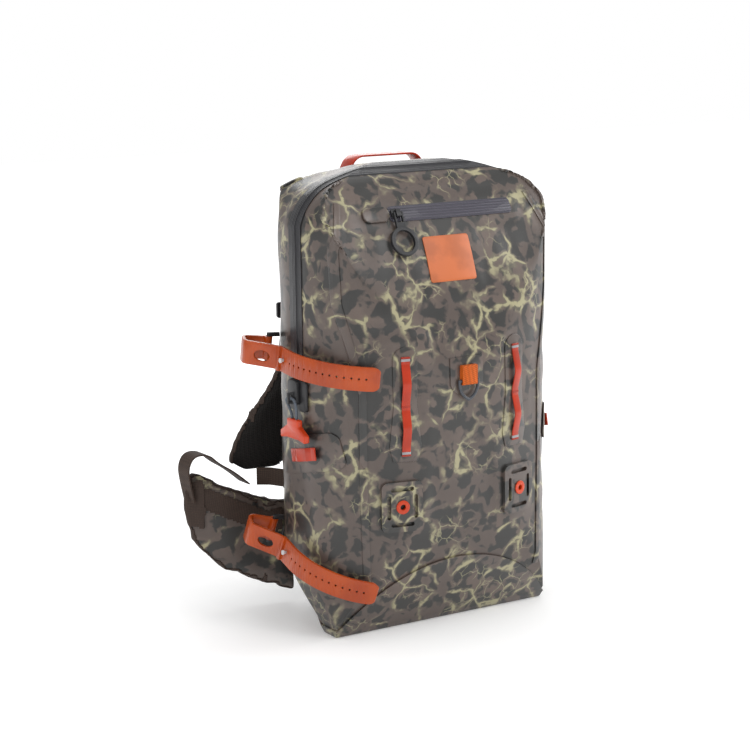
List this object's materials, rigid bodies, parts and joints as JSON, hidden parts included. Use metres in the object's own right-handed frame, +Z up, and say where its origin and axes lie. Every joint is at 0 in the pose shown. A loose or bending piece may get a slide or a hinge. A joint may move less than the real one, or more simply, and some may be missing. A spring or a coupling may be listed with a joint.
{
  "type": "tackle backpack",
  "caption": "Waterproof camouflage fishing backpack with a fold-down front panel, U-shaped zip, rod straps on one side, lash plates, harness and hip belt.",
  "frame": {"origin": "middle of the flat base on the floor, under the middle of the bag's width", "axes": "+Z up the bag, -Y towards its front, +Y towards the wearer, +X to the right seen from the front"},
  "size_m": [0.4536, 0.2487, 0.5027],
  "materials": {
    "camo_fabric": "semi-gloss coated camouflage fabric",
    "camo_patch": "semi-gloss welded coated patch",
    "orange_coated": "glossy coated ribbon",
    "orange_moulded": "moulded polyurethane",
    "orange_patch": "satin",
    "orange_webbing": "woven",
    "black_zip": "satin",
    "slate_zip": "ribbed satin",
    "black_plastic": "matt moulded",
    "camo_plastic": "moulded, camouflage film",
    "steel": "polished",
    "gunmetal": "dark plated",
    "grey_cord": "braided",
    "inner_sheet": "matt sheet",
    "inner_fabric": "thin coated fabric",
    "inner_zip": "woven tape",
    "mesh_foam": "spacer mesh over foam",
    "camo_pad": "camouflage face over foam",
    "brown_webbing": "woven"
  },
  "bodies": {
    "pack_body": {"main_shell": "camo_fabric", "base_boot": "camo_patch", "rear_zip_tape": "black_zip", "zip_dock": "black_plastic", "zip_end_stop": "black_plastic", "lower_seam_tapes": "camo_patch", "lash_plate_left": "camo_plastic", "lash_plate_right": "camo_plastic", "lash_eyelets": "orange_moulded", "side_patches": "camo_patch", "side_loop_left": "orange_coated", "side_loop_right": "orange_coated", "strap_ring_upper": "black_plastic", "strap_ring_lower": "black_plastic", "haul_handle": "orange_coated", "handle_tacks": "orange_coated", "frame_sheet": "inner_sheet", "inner_pocket": "inner_fabric", "inner_pocket_zip": "inner_zip", "back_pads": "mesh_foam", "lumbar_pad": "mesh_foam", "harness_yoke": "brown_webbing", "shoulder_strap_left": "mesh_foam", "shoulder_strap_right": "mesh_foam", "load_lifters": "brown_webbing", "sternum_rails": "brown_webbing", "ladder_locks": "black_plastic", "lower_webbings": "brown_webbing", "webbing_anchors": "brown_webbing"},
    "front_flap": {"front_panel": "camo_fabric", "front_zip_tape": "black_zip", "upper_seam_tapes": "camo_patch", "badge_patch": "orange_patch", "d_ring_patch": "camo_patch", "d_ring_webbing": "orange_webbing", "pocket_zip": "slate_zip", "pocket_garage": "camo_fabric", "pocket_liner": "inner_fabric", "attachment_strips": "orange_coated", "strip_patches": "camo_patch"},
    "dee": {"d_ring": "gunmetal"},
    "pocket_zip_slider": {"pocket_slider": "black_plastic"},
    "pocket_zip_pull": {"pocket_pull": "black_plastic"},
    "main_zip_slider": {"main_slider": "black_plastic"},
    "main_zip_pull": {"pull_cord": "grey_cord", "zip_pull": "orange_moulded"},
    "upper_rod_strap": {"rod_strap_upper": "orange_moulded", "strap_pin_upper": "steel"},
    "lower_rod_strap": {"rod_strap_lower": "orange_moulded", "strap_pin_lower": "steel"},
    "left_wing": {"hip_wing_left": "camo_pad", "belt_webbing_left": "brown_webbing", "belt_buckle_plug": "black_plastic"},
    "right_wing": {"hip_wing_right": "camo_pad", "belt_webbing_right": "brown_webbing", "belt_buckle_socket": "black_plastic"},
    "chest_strap": {"sternum_clips": "black_plastic", "sternum_webbing": "brown_webbing", "chest_buckle_socket": "black_plastic", "chest_buckle_plug": "black_plastic"}
  },
  "joints": [
    {"name": "front_panel_fold", "type": "hinge", "parent": "pack_body", "child": "front_flap", "pos_m": [0, -0.08, 0.181], "axis": [1, 0, 0], "range_deg": [0, 45]},
    {"name": "d_ring_swing", "type": "hinge", "parent": "front_flap", "child": "dee", "pos_m": [0.004, -0.0846, 0.272], "axis": [-1, 0, 0], "range_deg": [0, 95]},
    {"name": "pocket_zip_travel", "type": "slide", "parent": "front_flap", "child": "pocket_zip_slider", "axis": [1, 0, 0], "range_m": [0, 0.135]},
    {"name": "pocket_pull_swing", "type": "hinge", "parent": "pocket_zip_slider", "child": "pocket_zip_pull", "pos_m": [-0.054, -0.03911, 0.4497], "axis": [-1, 0, 0], "range_deg": [0, 90]},
    {"name": "main_zip_travel", "type": "slide", "parent": "pack_body", "child": "main_zip_slider", "axis": [0, 0, 1], "range_m": [0, 0.15]},
    {"name": "main_pull_swing", "type": "hinge", "parent": "main_zip_slider", "child": "main_zip_pull", "pos_m": [-0.1588, 0.01, 0.257], "axis": [1, 0, 0], "range_deg": [-35, 35]},
    {"name": "upper_rod_strap_swing", "type": "hinge", "parent": "pack_body", "child": "upper_rod_strap", "pos_m": [-0.158, 0.06, 0.304], "axis": [-0.0485, 0.1249, -0.991], "range_deg": [0, 80]},
    {"name": "lower_rod_strap_swing", "type": "hinge", "parent": "pack_body", "child": "lower_rod_strap", "pos_m": [-0.158, 0.06, 0.104], "axis": [-0.1239, 0.3188, -0.9397], "range_deg": [0, 35]},
    {"name": "left_wing_swing", "type": "hinge", "parent": "pack_body", "child": "left_wing", "pos_m": [-0.102, 0.11, 0.09], "axis": [0, 0, -1], "range_deg": [-5, 55]},
    {"name": "right_wing_swing", "type": "hinge", "parent": "pack_body", "child": "right_wing", "pos_m": [0.102, 0.11, 0.09], "axis": [0, 0, 1], "range_deg": [-5, 55]},
    {"name": "chest_strap_height", "type": "slide", "parent": "pack_body", "child": "chest_strap", "axis": [0, 0, 1], "range_m": [-0.02, 0.055]}
  ],
  "couplings": [
    {"joint": "main_zip_travel", "follows": "front_panel_fold", "m_per_rad": 0.19098},
    {"joint": "upper_rod_strap_swing", "follows": "front_panel_fold", "ratio": 1.7777}
  ]
}
